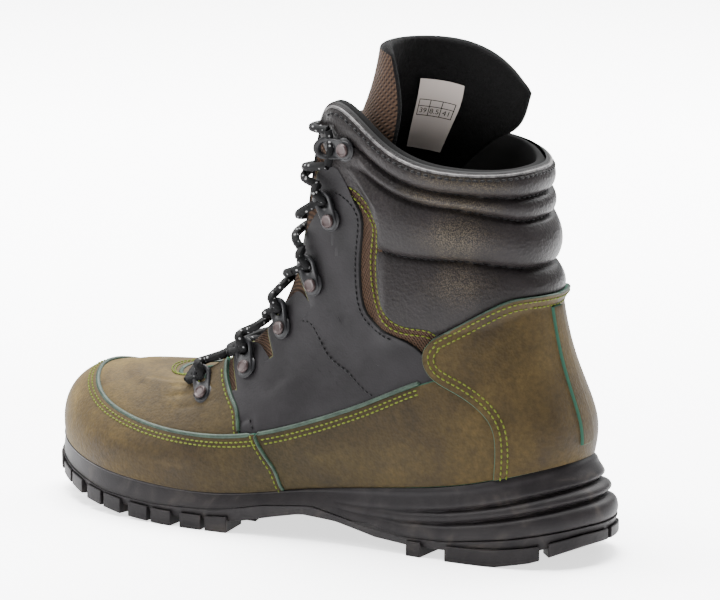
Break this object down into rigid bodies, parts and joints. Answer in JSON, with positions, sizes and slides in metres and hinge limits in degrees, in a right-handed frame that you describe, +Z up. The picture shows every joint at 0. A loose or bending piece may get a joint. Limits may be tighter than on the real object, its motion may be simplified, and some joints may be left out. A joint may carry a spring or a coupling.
{
  "type": "hiking boot",
  "caption": "Left hiking boot with a lugged rubber sole, leather upper with padded rolled collar, tall wrapped tongue, closed lace loops, open top hooks and a round lace.",
  "frame": {"origin": "on the ground under the middle of the boot's box", "axes": "+X to the toe, +Y to the wearer's left (the outer side), +Z up"},
  "size_m": [0.3106, 0.1122, 0.24],
  "materials": {
    "black_leather": "smooth, matt",
    "olive_nubuck": "oiled nubuck",
    "black_rubber": "matt",
    "insole_foam": "cloth over foam",
    "black_fleece": "napped",
    "label_cloth": "woven label, bare",
    "lace_cord": "braided round cord",
    "black_metal": "satin black",
    "rivet_metal": "dull pinkish grey"
  },
  "bodies": {
    "root": {"upper": "black_leather", "quarter_outer": "black_leather", "quarter_inner": "black_leather", "toe_guard": "olive_nubuck", "side_guard_outer": "olive_nubuck", "side_guard_inner": "olive_nubuck", "heel_counter": "olive_nubuck", "midsole": "black_rubber", "outsole": "black_rubber", "insole": "insole_foam", "tongue": "black_fleece", "size_label": "label_cloth", "lace_crossing_1": "lace_cord", "lace_crossing_2": "lace_cord", "lace_crossing_3": "lace_cord", "lace_crossing_4": "lace_cord", "lace_crossing_5": "lace_cord", "lace_bar_bottom": "lace_cord", "lace_bar_top": "lace_cord", "lace_eye_outer_1": "black_metal", "lace_eye_outer_2": "black_metal", "lace_eye_outer_3": "black_metal", "lace_eye_outer_4": "black_metal", "lace_eye_outer_5": "black_metal", "lace_eye_inner_1": "black_metal", "lace_eye_inner_2": "black_metal", "lace_eye_inner_3": "black_metal", "lace_eye_inner_4": "black_metal", "lace_eye_inner_5": "black_metal", "lace_hook_outer_6": "black_metal", "lace_hook_inner_6": "black_metal", "rivet_outer_1": "rivet_metal", "rivet_outer_2": "rivet_metal", "rivet_outer_3": "rivet_metal", "rivet_outer_4": "rivet_metal", "rivet_outer_5": "rivet_metal", "rivet_outer_6": "rivet_metal", "rivet_inner_1": "rivet_metal", "rivet_inner_2": "rivet_metal", "rivet_inner_3": "rivet_metal", "rivet_inner_4": "rivet_metal", "rivet_inner_5": "rivet_metal", "rivet_inner_6": "rivet_metal"}
  },
  "joints": []
}
